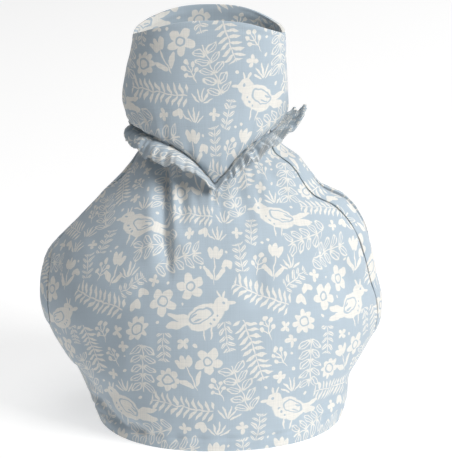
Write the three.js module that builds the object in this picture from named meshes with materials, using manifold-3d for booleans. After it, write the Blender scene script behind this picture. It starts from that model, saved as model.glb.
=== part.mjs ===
// A muff tea cosy of padded cotton: a round-shouldered body that stands on its hem, with a slot for
// the spout on the left (-X) and one for the handle on the right (+X), a neck drawn in along a
// V-shaped seam, a gathered frill in that seam, and an open hood above it. Millimetres, +Z up, the
// front towards -Y, and the hem on z = 0.
import * as THREE from 'three';
import { mergeVertices } from 'three/addons/utils/BufferGeometryUtils.js';
import Module from 'manifold-3d';

const wasm = await Module();
wasm.setup();

// ---- Driving dimensions ------------------------------------------------------------------------

const PANEL_GAP = 0.5; // clear space between two panels on their outside, where their edges slant
const STRIP_GAP = 0.8; // clear space round an edge strip, whose sides slant more
const BODY_WALL = 3; // padded double cloth of the body
const HOOD_WALL = 2;
const FRILL_WALL = 1.2;
const STRIP_PROUD = 0.3; // an edge strip stands this much proud of the cloth, inside and out

// The hem is turned up, thicker than the wall, and held by a row of stitching that pulls a groove
const HEM = { wall: 4, height: 8, blend: 3, stitchDepth: 0.6, stitchWidth: 2.5 };

const TURN = Math.PI * 2;
const UP = new THREE.Vector3(0, 0, 1);

// Outlines of the body from the floor up. Half-widths to the spout side (left) and to the handle
// side (right), and half-depth to the front and the back. crown and edge are the powers of the rounded
// outline across the front and at the side seams: 2 and 2 is an ellipse, a higher crown is a flatter
// front, and a lower edge is drawn out towards the side seams.
const BODY_SECTIONS = [
  { z: 0, left: 70.5, right: 81, depth: 83.5, crown: 2.2, edge: 2.2 },
  { z: 10, left: 74.5, right: 84, depth: 85, crown: 2.15, edge: 2.1 },
  { z: 25, left: 81.3, right: 86.2, depth: 87.5, crown: 2.1, edge: 1.9 },
  { z: 41, left: 92, right: 95.8, depth: 89, crown: 2.1, edge: 1.75 },
  { z: 56, left: 100.6, right: 103.2, depth: 89, crown: 2.1, edge: 1.6 },
  { z: 72, left: 106.8, right: 105.3, depth: 87.5, crown: 2.1, edge: 1.55 },
  { z: 87, left: 106.4, right: 102.2, depth: 84, crown: 2.1, edge: 1.55 },
  { z: 102, left: 98.5, right: 99.5, depth: 78, crown: 2.1, edge: 1.55 },
  { z: 118, left: 84, right: 94.5, depth: 67, crown: 2.05, edge: 1.6 },
  { z: 133, left: 69.5, right: 83, depth: 53, crown: 2, edge: 1.7 },
  { z: 140, left: 62.5, right: 68.5, depth: 46, crown: 2, edge: 1.8 },
  { z: 148, left: 54.5, right: 61, depth: 40, crown: 2, edge: 1.9 },
  { z: 158, left: 47, right: 53, depth: 37.5, crown: 2, edge: 2 },
  { z: 166, left: 41.8, right: 42.5, depth: 36.8, crown: 2, edge: 2 },
  { z: 186, left: 41, right: 41, depth: 36.5, crown: 2, edge: 2 },
];

// Outlines of the hood, over the same columns
const HOOD_SECTIONS = [
  { z: 148, left: 48, right: 44, depth: 39.5, crown: 2, edge: 2 },
  { z: 165, left: 49.5, right: 45, depth: 39.5, crown: 2, edge: 2 },
  { z: 185, left: 51.2, right: 46, depth: 37, crown: 2.1, edge: 2 },
  { z: 195, left: 53.5, right: 46.2, depth: 35, crown: 2.2, edge: 2 },
  { z: 210, left: 51.6, right: 45.6, depth: 33, crown: 2.3, edge: 2.1 },
  { z: 230, left: 47.2, right: 44.6, depth: 31.5, crown: 2.5, edge: 2.4 },
  { z: 248, left: 46.2, right: 44.4, depth: 31, crown: 2.6, edge: 2.6 },
];

// Above the seam the hood swells to its full outline within this height, fastest at first
const HOOD_SWELL = { height: 7.5, power: 2.4 };

// The neck seam is lowest at the front and back, in a sharp V, and rises to each side
// and is steep there, so the cloths part by gap, measured up and down
const NECK = {
  gap: 0.9,
  tip: 151,
  tipAngle: 2,
  left: { rise: 27, bend: 24 },
  right: { rise: 32, bend: 33 },
};

// The rim of the hood is lowest in a notch at each side seam and arches up over the front and the back
const RIM = { side: 230, shoulder: 8.7, shoulderPower: 0.3, crown: 8, crownPower: 3 };

// Slots between the two body panels. The opening is a lens from bottom to top, at most twice half
// across. The strip sewn round it runs from low to high, foot wide on each side at its low end and
// head at its high end, and tapers to a point at the bottom, and at the top too where closedTop is 1.
const SPOUT_SLOT = {
  side: -1,
  opening: { bottom: 56, top: 100, half: 13 },
  strip: { low: 48, high: 108, foot: 12, head: 12, taper: 14, closedTop: 1 },
};
const HANDLE_SLOT = {
  side: 1,
  opening: { bottom: 48, top: 152, half: 8 },
  strip: { low: 39, high: 177, foot: 10, head: 17, taper: 18, closedTop: 0 },
};

// Folds of the cloth, as troughs (depth above 0) or ridges (below 0) along a straight line seen from
// the front. across is the half-width of the trough, and face says which panel has it.
// FOLD_ENDS says over which shares of that line a fold begins and dies away.
const FOLD_ENDS = { begins: -0.12, full: 0.15, fades: 0.7, gone: 1.15 };
const FOLDS = [
  { face: 'front', x0: -29.5, z0: 172, x1: -25, z1: 98, across: 4.5, depth: 5 },
  { face: 'front', x0: -37, z0: 168, x1: -34, z1: 104, across: 6, depth: -1.8 },
  { face: 'front', x0: -19.5, z0: 164, x1: -17, z1: 131, across: 4, depth: 2.6 },
  { face: 'front', x0: 26, z0: 116, x1: 28, z1: 88, across: 6, depth: 1.8 },
  { face: 'front', x0: 68, z0: 116, x1: 86, z1: 82, across: 6, depth: 2.6 },
  { face: 'front', x0: 17, z0: 150, x1: 22, z1: 126, across: 5, depth: 1.6 },
  { face: 'front', x0: -73, z0: 17, x1: -52, z1: 6, across: 5, depth: 2.6 },
  { face: 'front', x0: 55, z0: 14, x1: 78, z1: 20, across: 5, depth: 2.2 },
  { face: 'back', x0: 28, z0: 172, x1: 27, z1: 104, across: 5, depth: 4 },
  { face: 'back', x0: -24, z0: 170, x1: -27, z1: 122, across: 5, depth: 3.2 },
  { face: 'back', x0: 5, z0: 146, x1: 4, z1: 112, across: 6, depth: 2 },
  { face: 'back', x0: -66, z0: 112, x1: -84, z1: 84, across: 7, depth: 2.4 },
];

// The frill: how far its edge stands out from the neck and hangs below the seam, by the angle in
// degrees from the front, negative towards the spout; wave is how far its edge sways
const FRILL = [
  { angle: -180, out: 9, drop: 4, wave: 2.0 },
  { angle: -120, out: 9.5, drop: 2, wave: 2.2 },
  { angle: -90, out: 10.5, drop: 3, wave: 1.4 },
  { angle: -65, out: 9.5, drop: 4.5, wave: 1.2 },
  { angle: -40, out: 10, drop: 9, wave: 1.4 },
  { angle: -20, out: 8.5, drop: 5, wave: 1.2 },
  { angle: 2, out: 6.5, drop: 2, wave: 0.6 },
  { angle: 20, out: 8, drop: 4.5, wave: 1.6 },
  { angle: 45, out: 10, drop: 3.5, wave: 2.6 },
  { angle: 70, out: 12.5, drop: -4, wave: 2.4 },
  { angle: 90, out: 13, drop: -7, wave: 2.0 },
  { angle: 120, out: 10, drop: 0, wave: 2.2 },
  { angle: 180, out: 9, drop: 4, wave: 2.0 },
];
const FRILL_ROOT = 1.5; // clear space from the neck to the frill's root

// Waves round the frill: how many large and small ones, and how strong the small ones and the
// outward sway are next to the large up and down ones
const FRILL_WAVES = { large: 21, small: 34, smallPhase: 1, smallShare: 0.45, outwardShare: 0.35 };

// ---- Mesh density ------------------------------------------------------------------------------

// Columns as shares of the quarter turn from the middle to a side seam, closer together over the deep
// pleats. They run upright from PLEAT.z up, as the gathers do, and spread evenly towards the floor.
const PLEAT = { x: 27, z: 98, spreadZ: 30, floorSpread: 0.5 };
const FRONT_COLUMNS = [
  0.015, 0.045, 0.08, 0.11, 0.13, 0.147, 0.163, 0.18, 0.2, 0.23, 0.27, 0.325, 0.395, 0.475, 0.57, 0.67,
  0.775, 0.885, 1,
];
const BACK_COLUMNS = [
  0.015, 0.045, 0.085, 0.12, 0.142, 0.162, 0.184, 0.21, 0.26, 0.34, 0.44, 0.57, 0.71, 0.86, 1,
];
const RIM_EVENNESS = 1.6; // power that spreads the hood's columns evenly along its rim

const BODY_ROWS = 19;
const HEM_ROWS = [0.04, 0.07]; // in place of the lowest body row, over the stitching
const HOOD_ROWS = [0, 0.03, 0.07, 0.12, 0.25, 0.43, 0.62, 0.81, 1];
const STRIP_ROWS = 14;
const STRIP_COLUMNS = 8;
const SLOT_ROWS = 12;
const FRILL_COLUMNS = 132;
const FRILL_ROWS = [0, 0.28, 0.6, 1];

// ---- Curves and tables -------------------------------------------------------------------------

const degrees = THREE.MathUtils.radToDeg;
const clamp = THREE.MathUtils.clamp;
const smooth = THREE.MathUtils.smoothstep;

// A smooth curve through one column of a table whose rows are sorted by the column named key
function through(table, key, column, at) {
  const last = table.length - 1;
  const x = clamp(at, table[0][key], table[last][key]);
  let i = 0;
  while (i < last - 1 && x > table[i + 1][key]) i += 1;
  const slope = (a, b) => (table[b][column] - table[a][column]) / (table[b][key] - table[a][key]);
  const span = table[i + 1][key] - table[i][key];
  const t = (x - table[i][key]) / span;
  const startSlope = i > 0 ? slope(i - 1, i + 1) : slope(i, i + 1);
  const endSlope = i < last - 1 ? slope(i, i + 2) : slope(i, i + 1);
  const t2 = t * t;
  const t3 = t2 * t;
  return (
    table[i][column] * (2 * t3 - 3 * t2 + 1) +
    table[i + 1][column] * (3 * t2 - 2 * t3) +
    startSlope * span * (t3 - 2 * t2 + t) +
    endSlope * span * (t3 - t2)
  );
}

const signedPower = (value, power) => Math.sign(value) * Math.abs(value) ** power;

// A point of a table's outline; turn 0 is the handle side, and it grows through the back
function outline(table, turn, z) {
  const side = Math.cos(turn) < 0 ? 'left' : 'right';
  return new THREE.Vector3(
    through(table, 'z', side, z) * signedPower(Math.cos(turn), 2 / through(table, 'z', 'crown', z)),
    through(table, 'z', 'depth', z) * signedPower(Math.sin(turn), 2 / through(table, 'z', 'edge', z)),
    z,
  );
}

// Degrees from the front or the back middle, negative towards the spout
function fromMiddle(turn) {
  return degrees(Math.atan2(Math.cos(turn), Math.abs(Math.sin(turn))));
}

function seamHeight(turn) {
  const angle = fromMiddle(turn) - NECK.tipAngle;
  const { rise, bend } = angle < 0 ? NECK.left : NECK.right;
  const full = 1 - Math.exp(-(90 - Math.sign(angle) * NECK.tipAngle) / bend);
  return NECK.tip + (rise * (1 - Math.exp(-Math.abs(angle) / bend))) / full;
}

function rimHeight(turn) {
  const share = Math.abs(Math.sin(turn));
  return RIM.side + RIM.shoulder * share ** RIM.shoulderPower + RIM.crown * share ** RIM.crownPower;
}

// How deep the folds of one panel press in at a point seen from the front
function foldDepth(x, z, front) {
  let depth = 0;
  for (const fold of FOLDS) {
    if ((fold.face === 'front') !== front) continue;
    const run = new THREE.Vector2(fold.x1 - fold.x0, fold.z1 - fold.z0);
    const from = new THREE.Vector2(x - fold.x0, z - fold.z0);
    const along = from.dot(run) / run.lengthSq();
    const off = Math.abs(from.cross(run)) / run.length() / fold.across;
    const begun = smooth(along, FOLD_ENDS.begins, FOLD_ENDS.full);
    const faded = smooth(along, FOLD_ENDS.fades, FOLD_ENDS.gone);
    depth += fold.depth * Math.exp(-off * off) * begun * (1 - faded);
  }
  return depth;
}

// ---- Skins: a point on the outside of each cloth, and the same point moved inwards --------------

// The outward direction of a skin, level where the cloth meets the floor
function outwards(skin, turn, z) {
  const swing = 0.01;
  const lift = 0.1;
  const around = skin(turn + swing, z).sub(skin(turn - swing, z));
  const up = skin(turn, z + lift).sub(skin(turn, z - lift));
  const normal = around.cross(up);
  normal.z *= smooth(z, 0, HEM.height);
  return normal.normalize();
}

const bodySkin = (turn, z) => outline(BODY_SECTIONS, turn, z);

function bodyPoint(turn, z, inset) {
  const point = bodySkin(turn, z);
  const aboveHem = smooth(z, HEM.height - HEM.blend, HEM.height + HEM.blend);
  const wall = THREE.MathUtils.lerp(HEM.wall, BODY_WALL, aboveHem);
  const press = foldDepth(point.x, z, point.y < 0) + hemStitch(z);
  return point.addScaledVector(outwards(bodySkin, turn, z), -(inset * wall + press));
}

// How deep the hem's stitching pulls the cloth in at a height
function hemStitch(z) {
  const off = (z - HEM.height) / HEM.stitchWidth;
  return HEM.stitchDepth * Math.exp(-off * off);
}

// The hood leaves the neck at the seam and swells out over the frill
function hoodSkin(turn, z) {
  const seam = seamHeight(turn);
  const neck = outline(BODY_SECTIONS, turn, seam);
  const full = outline(HOOD_SECTIONS, turn, z);
  const swell = 1 - (1 - clamp((z - seam) / HOOD_SWELL.height, 0, 1)) ** HOOD_SWELL.power;
  return new THREE.Vector3(
    THREE.MathUtils.lerp(neck.x, full.x, swell),
    THREE.MathUtils.lerp(neck.y, full.y, swell),
    z,
  );
}

function hoodPoint(turn, z, inset) {
  const normal = outwards(hoodSkin, turn, z).setZ(0).normalize();
  return hoodSkin(turn, z).addScaledVector(normal, -(inset * HOOD_WALL));
}

// ---- Solids ------------------------------------------------------------------------------------

// A closed sheet from a grid of points: place(u, v, inset) with u and v from 0 to 1 and inset 0 on
// the outside and 1 on the inside. A ring sheet joins u = 1 to u = 0.
function sheetGeometry(place, columns, rows, ring = false) {
  const across = columns.length;
  const high = rows.length;
  const positions = [];
  for (const inset of [0, 1]) {
    for (const v of rows) {
      for (const u of columns) positions.push(...place(u, v, inset).toArray());
    }
  }
  const vertex = (i, j, layer) => layer * across * high + j * across + (i % across);
  const indices = [];
  const quad = (a, b, c, d) => indices.push(a, b, c, a, c, d);
  const spans = ring ? across : across - 1;
  for (let i = 0; i < spans; i += 1) {
    for (let j = 0; j < high - 1; j += 1) {
      quad(vertex(i, j, 0), vertex(i + 1, j, 0), vertex(i + 1, j + 1, 0), vertex(i, j + 1, 0));
      quad(vertex(i, j + 1, 1), vertex(i + 1, j + 1, 1), vertex(i + 1, j, 1), vertex(i, j, 1));
    }
    quad(vertex(i + 1, 0, 0), vertex(i, 0, 0), vertex(i, 0, 1), vertex(i + 1, 0, 1));
    const top = high - 1;
    quad(vertex(i, top, 0), vertex(i + 1, top, 0), vertex(i + 1, top, 1), vertex(i, top, 1));
  }
  if (!ring) {
    const end = across - 1;
    for (let j = 0; j < high - 1; j += 1) {
      quad(vertex(0, j, 0), vertex(0, j + 1, 0), vertex(0, j + 1, 1), vertex(0, j, 1));
      quad(vertex(end, j + 1, 0), vertex(end, j, 0), vertex(end, j, 1), vertex(end, j + 1, 1));
    }
  }
  const geometry = new THREE.BufferGeometry();
  geometry.setAttribute('position', new THREE.Float32BufferAttribute(positions, 3));
  geometry.setIndex(indices);
  return geometry;
}

function toManifold(geometry) {
  const bare = geometry.clone();
  bare.deleteAttribute('normal');
  bare.deleteAttribute('uv');
  const merged = mergeVertices(bare, 1e-5);
  return new wasm.Manifold(
    new wasm.Mesh({
      numProp: 3,
      vertProperties: new Float32Array(merged.getAttribute('position').array),
      triVerts: new Uint32Array(merged.index.array),
    }),
  );
}

function fromManifold(solid) {
  const mesh = solid.getMesh();
  const geometry = new THREE.BufferGeometry();
  geometry.setAttribute('position', new THREE.BufferAttribute(mesh.vertProperties, 3));
  geometry.setIndex(new THREE.BufferAttribute(mesh.triVerts, 1));
  return geometry;
}

const evenly = (count) => Array.from({ length: count + 1 }, (_, i) => i / count);
const levelsBetween = (low, high, count) => evenly(count).map((v) => THREE.MathUtils.lerp(low, high, v));

// ---- Slots and their strips --------------------------------------------------------------------

// Half the opening of a slot at a height
function slotHalf({ opening }, z) {
  const middle = (opening.bottom + opening.top) / 2;
  const reach = (opening.top - opening.bottom) / 2;
  return opening.half * Math.max(0, 1 - ((z - middle) / reach) ** 2);
}

// Half the width of a strip and its slot together
function stripHalf(slot, z) {
  const { low, high, foot, head, taper, closedTop } = slot.strip;
  const blunt = taper / 5;
  const begun = smooth(z, low - blunt, low + taper);
  const ended = smooth(z, high - taper, high + blunt) * closedTop;
  return slotHalf(slot, z) + THREE.MathUtils.mapLinear(z, low, high, foot, head) * begun * (1 - ended);
}

// The turn at which a height's outline reaches a distance y from the side seam
function turnAt(side, y, z) {
  const share = clamp(Math.abs(y) / through(BODY_SECTIONS, 'z', 'depth', z), 0, 1);
  const lift = Math.asin(share ** (through(BODY_SECTIONS, 'z', 'edge', z) / 2));
  const turn = Math.sign(y) * lift;
  return side > 0 ? turn : Math.PI - turn;
}

function stripGeometry(slot) {
  const place = (u, v, inset) => {
    const z = THREE.MathUtils.lerp(slot.strip.low, slot.strip.high, v);
    const y = (u * 2 - 1) * stripHalf(slot, z) * slot.side;
    const turn = turnAt(slot.side, y, z);
    const depth = BODY_WALL * inset + STRIP_PROUD * (inset * 2 - 1);
    const point = bodySkin(turn, z);
    return point.addScaledVector(outwards(bodySkin, turn, z), -depth);
  };
  const patch = toManifold(sheetGeometry(place, evenly(STRIP_COLUMNS), evenly(STRIP_ROWS)));
  const levels = levelsBetween(slot.opening.bottom, slot.opening.top, SLOT_ROWS);
  return fromManifold(patch.subtract(slotPrism(slot, (z) => slotHalf(slot, z), levels)));
}

// A prism along X through one side, whose outline is half(z) to each side of the seam at each level
function slotPrism(slot, half, levels) {
  const shape = new THREE.Shape();
  levels.forEach((z, i) => (i === 0 ? shape.moveTo(half(z), z) : shape.lineTo(half(z), z)));
  [...levels].reverse().forEach((z) => shape.lineTo(-half(z), z));
  const inner = 30;
  const outer = 140;
  const geometry = new THREE.ExtrudeGeometry(shape, { depth: outer - inner, bevelEnabled: false });
  // The shape's x and y become the object's y and z, and its depth runs along x
  geometry.applyMatrix4(new THREE.Matrix4().set(0, 0, 1, 0, 1, 0, 0, 0, 0, 1, 0, 0, 0, 0, 0, 1));
  geometry.translate(slot.side > 0 ? inner : -outer, 0, 0);
  return toManifold(geometry);
}

// The room that a panel leaves for a strip: the strip's outline and a gap all round
function stripRoom(slot) {
  const { low, high } = slot.strip;
  const half = (z) => stripHalf(slot, clamp(z, low, high)) + STRIP_GAP;
  const levels = [low - STRIP_GAP, ...levelsBetween(low, high, STRIP_ROWS), high + STRIP_GAP];
  return slotPrism(slot, half, levels);
}

// ---- Panels ------------------------------------------------------------------------------------

// The share of the quarter turn at which the outline of a height is x from the middle
function shareAt(x, z) {
  const width = through(BODY_SECTIONS, 'z', 'left', z);
  const power = through(BODY_SECTIONS, 'z', 'crown', z) / 2;
  return Math.asin(clamp((x / width) ** power, 0, 1)) / (Math.PI / 2);
}

// The power that keeps a column upright from PLEAT.z up to a height
const uprightPower = (z) => Math.log(shareAt(PLEAT.x, z)) / Math.log(shareAt(PLEAT.x, PLEAT.z));

// Where a column's share lies at a height
function uprightShare(share, z) {
  const spread = THREE.MathUtils.lerp(PLEAT.floorSpread, 1, smooth(z, PLEAT.spreadZ, PLEAT.z));
  return signedPower(share, uprightPower(Math.max(z, PLEAT.z)) * spread);
}

// The turn of a share on the front (face -1) or the back (face 1), from the spout to the handle side
const faceTurn = (face, share) => face * (Math.PI / 2) * (1 - share);

function panelTurn(face, share, z, table) {
  const depth = through(table, 'z', 'depth', z);
  const edge = Math.asin((PANEL_GAP / 2 / depth) ** (through(table, 'z', 'edge', z) / 2));
  return faceTurn(face, share * (1 - edge / (Math.PI / 2)));
}

// Columns from the spout side to the handle side, with one that runs into the tip of the neck's V
function bothSides(half) {
  const tip = (NECK.tipAngle / 90) ** (1 / uprightPower(NECK.tip));
  return [...[...half].reverse().map((share) => -share), tip, ...half];
}

// Where a column meets the neck seam: its height there and its share settle each other in a few steps
function columnSeam(face, u) {
  let z = NECK.tip;
  for (let i = 0; i < 12; i += 1) z = seamHeight(faceTurn(face, uprightShare(u, z)));
  return { z, share: uprightShare(u, z) };
}

function bodyGeometry(face, halfColumns) {
  const rows = evenly(BODY_ROWS);
  rows.splice(1, 1, ...HEM_ROWS);
  const place = (u, v, inset) => {
    const z = (columnSeam(face, u).z - NECK.gap / 2) * v;
    return bodyPoint(panelTurn(face, uprightShare(u, z), z, BODY_SECTIONS), z, inset);
  };
  const columns = bothSides(halfColumns);
  const panel = toManifold(sheetGeometry(place, face < 0 ? columns : columns.reverse(), rows));
  return fromManifold(panel.subtract(stripRoom(SPOUT_SLOT)).subtract(stripRoom(HANDLE_SLOT)));
}

function hoodGeometry(face, halfColumns) {
  const place = (u, v, inset) => {
    const seam = columnSeam(face, u);
    const even = signedPower(seam.share, RIM_EVENNESS);
    const share = THREE.MathUtils.lerp(seam.share, even, smooth(v, HOOD_ROWS[3], HOOD_ROWS[6]));
    const z = THREE.MathUtils.lerp(seam.z + NECK.gap / 2, rimHeight(faceTurn(face, even)), v);
    return hoodPoint(panelTurn(face, share, z, HOOD_SECTIONS), z, inset);
  };
  const columns = bothSides(halfColumns);
  return sheetGeometry(place, face < 0 ? columns : columns.reverse(), HOOD_ROWS);
}

// ---- Frill -------------------------------------------------------------------------------------

function frillGeometry() {
  const place = (u, w, inset) => {
    const v = 1 - w;
    const turn = u * TURN;
    const angle = degrees(Math.atan2(Math.cos(turn), -Math.sin(turn)));
    const row = (column) => through(FRILL, 'angle', column, angle);
    const seam = seamHeight(turn);
    const neck = bodyPoint(turn, seam, 0);
    const normal = outwards(bodySkin, turn, seam).setZ(0).normalize();
    const large = Math.sin(turn * FRILL_WAVES.large);
    const small = Math.sin(turn * FRILL_WAVES.small + FRILL_WAVES.smallPhase);
    const sway = (large + small * FRILL_WAVES.smallShare) * row('wave') * v;
    const out = FRILL_ROOT + row('out') * Math.sin((v * Math.PI) / 2);
    const down = row('drop') * v * v;
    const point = new THREE.Vector3(neck.x, neck.y, seam - NECK.gap / 2 - down + sway);
    point.addScaledVector(normal, out + sway * FRILL_WAVES.outwardShare);
    return point.addScaledVector(UP, -inset * FRILL_WALL);
  };
  const columns = evenly(FRILL_COLUMNS).slice(0, -1);
  return sheetGeometry(place, columns, FRILL_ROWS, true);
}

// ---- The object --------------------------------------------------------------------------------

const blueCotton = { color: 0xb9c9d6, roughness: 0.9, metalness: 0 };
const hoodCotton = { color: 0xbccbd7, roughness: 0.9, metalness: 0 };
const frillCotton = { color: 0xa6b6c2, roughness: 0.92, metalness: 0 };

const cosy = new THREE.Group();

function sew(name, geometry, finish) {
  const piece = new THREE.Mesh(geometry, new THREE.MeshStandardMaterial(finish));
  piece.name = name;
  cosy.add(piece);
}

sew('body_front', bodyGeometry(-1, FRONT_COLUMNS), blueCotton);
sew('body_back', bodyGeometry(1, BACK_COLUMNS), blueCotton);
sew('hood_front', hoodGeometry(-1, FRONT_COLUMNS), hoodCotton);
sew('hood_back', hoodGeometry(1, BACK_COLUMNS), hoodCotton);
sew('neck_frill', frillGeometry(), frillCotton);
sew('binding_spout', stripGeometry(SPOUT_SLOT), blueCotton);
sew('binding_handle', stripGeometry(HANDLE_SLOT), blueCotton);

export default cosy;
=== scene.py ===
"""A muff tea cosy of padded printed cotton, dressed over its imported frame.

The cosy hangs as it does over a pot: a round-shouldered body with a slot for the spout and one for
the handle, a neck drawn in along a V, a gathered frill in that seam, and an open hood above it.

The cutter's tables are in millimetres, with the hem on z = 0, the front towards -Y and the spout
slot towards -X. MM turns them into metres as each piece is laid. A turn of 0 is the handle side, and
it grows through the back, in radians.
"""

from __future__ import annotations

import logging
import math
from dataclasses import dataclass
from enum import Enum
from functools import reduce
from typing import Callable, NamedTuple, Sequence

import bmesh
import bpy
import numpy as np
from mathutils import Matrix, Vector, noise


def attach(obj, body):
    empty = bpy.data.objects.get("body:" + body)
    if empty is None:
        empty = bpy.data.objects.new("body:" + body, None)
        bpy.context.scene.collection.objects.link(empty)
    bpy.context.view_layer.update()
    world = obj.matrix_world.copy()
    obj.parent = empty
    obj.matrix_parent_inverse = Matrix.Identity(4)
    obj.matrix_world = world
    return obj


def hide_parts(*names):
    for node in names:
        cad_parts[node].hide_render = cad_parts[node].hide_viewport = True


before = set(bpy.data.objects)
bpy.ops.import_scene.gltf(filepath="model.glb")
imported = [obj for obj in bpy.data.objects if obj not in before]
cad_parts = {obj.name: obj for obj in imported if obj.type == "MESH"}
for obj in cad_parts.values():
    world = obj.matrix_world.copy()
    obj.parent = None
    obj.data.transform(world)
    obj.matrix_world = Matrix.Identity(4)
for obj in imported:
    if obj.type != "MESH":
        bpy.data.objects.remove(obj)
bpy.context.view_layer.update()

logging.basicConfig(level=logging.INFO, format="%(message)s")
log = logging.getLogger("tea_cosy")

Array = np.ndarray
Colour = tuple[float, float, float]

MM = 0.001


class Face(Enum):
    """Which panel of a pair a piece is; the value is the sign of its Y."""

    FRONT = -1
    BACK = 1


class Side(Enum):
    """Which side of the cosy a slot is on; the value is the sign of its X."""

    SPOUT = -1
    HANDLE = 1


# ---- The cutter's tables, in millimetres --------------------------------------------------------


class Section(NamedTuple):
    """An outline of a cloth tube at a height z.

    left and right are its half-widths to the spout and handle sides, and depth is its half-depth.
    crown and edge are the powers of its rounding across and deep: 2 is an ellipse, more is squarer.
    """

    z: float
    left: float
    right: float
    depth: float
    crown: float
    edge: float


BODY_SECTIONS = (
    Section(0, 70.5, 81, 83.5, 2.2, 2.2),
    Section(10, 74.5, 84, 85, 2.15, 2.1),
    Section(25, 81.3, 86.2, 87.5, 2.1, 1.9),
    Section(41, 92, 95.8, 89, 2.1, 1.75),
    Section(56, 100.6, 103.2, 89, 2.1, 1.6),
    Section(72, 106.8, 105.3, 87.5, 2.1, 1.55),
    Section(87, 106.4, 102.2, 84, 2.1, 1.55),
    Section(102, 98.5, 99.5, 78, 2.1, 1.55),
    Section(118, 84, 94.5, 67, 2.05, 1.6),
    Section(133, 69.5, 83, 53, 2, 1.7),
    Section(140, 62.5, 68.5, 46, 2, 1.8),
    Section(148, 54.5, 61, 40, 2, 1.9),
    Section(158, 47, 53, 37.5, 2, 2),
    Section(166, 41.8, 42.5, 36.8, 2, 2),
    Section(186, 41, 41, 36.5, 2, 2),
)

HOOD_SECTIONS = (
    Section(148, 48, 44, 39.5, 2, 2),
    Section(165, 49.5, 45, 39.5, 2, 2),
    Section(185, 51.2, 46, 37, 2.1, 2),
    Section(195, 53.5, 46.2, 35, 2.2, 2),
    Section(210, 51.6, 45.6, 33, 2.3, 2.1),
    Section(230, 47.2, 44.6, 31.5, 2.5, 2.4),
    Section(248, 46.2, 44.4, 31, 2.6, 2.6),
)


class Fold(NamedTuple):
    """A trough, or a ridge where depth is below 0, along a straight line seen from the front.

    lean makes a trough that runs down steeper on its right (below 0) or on its left (above 0).
    """

    x0: float
    z0: float
    x1: float
    z1: float
    across: float
    depth: float
    lean: float = 0.0


FOLDS = {
    Face.FRONT: (
        # The main folds
        Fold(-29.5, 172, -25.6, 107, 3.8, 5.6, -0.35),
        Fold(-37, 168, -34, 104, 6, -1.8),
        Fold(-19.5, 164, -17, 131, 3.6, 3.0, 0.3),
        Fold(26, 116, 28, 88, 6, 2.5),
        Fold(68, 116, 86, 82, 5.6, 3.5),
        Fold(17, 150, 22, 126, 5, 1.6),
        Fold(-73, 17, -52, 6, 4.2, 3.6, 0.3),
        Fold(55, 14, 78, 20, 4.6, 2.8),
        # Finer creases
        Fold(-46, 164, -60, 136, 3.4, 1.2),
        Fold(-9, 149, -7, 128, 3.0, 1.0),
        Fold(3, 148, 6, 131, 2.6, 0.8),
        Fold(34, 158, 47, 138, 3.6, 1.2),
        Fold(26, 152, 31, 132, 3.0, 1.0),
        Fold(-23, 128, -12, 114, 3.4, -0.8),
        Fold(-31, 112, -44, 92, 5.0, 0.8),
        Fold(80, 104, 92, 74, 3.4, 1.3, 0.3),
        Fold(-88, 112, -96, 84, 3.6, 1.0),
        Fold(-50, 12, -38, 8, 3.0, 2.2),
        Fold(-84, 34, -66, 22, 4.0, 1.1),
        Fold(62, 9, 74, 12, 2.6, 1.9),
        Fold(70, 26, 86, 30, 3.6, 0.9),
        Fold(40, 70, 52, 46, 9, 0.9),
        Fold(-58, 84, -62, 52, 10, 1.0),
    ),
    Face.BACK: (
        # The main folds
        Fold(28, 172, 27, 104, 5, 4),
        Fold(-24, 170, -27, 122, 5, 3.2),
        Fold(5, 146, 4, 112, 6, 2),
        Fold(-66, 112, -84, 84, 7, 2.4),
        # Finer creases
        Fold(46, 158, 62, 132, 3.6, 1.1),
        Fold(70, 30, 86, 42, 5, 1.2),
        Fold(-60, 16, -74, 24, 5, 1.4),
        Fold(20, 12, 40, 18, 6, 1.0),
    ),
}


class FrillStation(NamedTuple):
    """How the frill lies at an angle in degrees from the front, negative towards the spout."""

    angle: float
    out: float
    drop: float
    wave: float
    crinkle: float


FRILL = (
    FrillStation(-180, 9, 4, 2.0, 0.9),
    FrillStation(-120, 9.5, 3, 2.2, 0.9),
    FrillStation(-90, 10, 6, 1.6, 0.8),
    FrillStation(-65, 9, 7.5, 1.2, 0.5),
    FrillStation(-40, 10, 9.5, 1.4, 0.4),
    FrillStation(-20, 8.5, 5.5, 1.2, 0.5),
    FrillStation(2, 6.5, 2, 0.6, 0.5),
    FrillStation(20, 8, 4.5, 1.6, 1.2),
    FrillStation(45, 10, 3.5, 2.6, 1.7),
    FrillStation(70, 12.5, -4, 2.4, 1.7),
    FrillStation(90, 13, -6.5, 2.0, 1.5),
    FrillStation(120, 10, 0, 2.2, 1.1),
    FrillStation(180, 9, 4, 2.0, 0.9),
)


# ---- Curves through the tables -------------------------------------------------------------------


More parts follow.
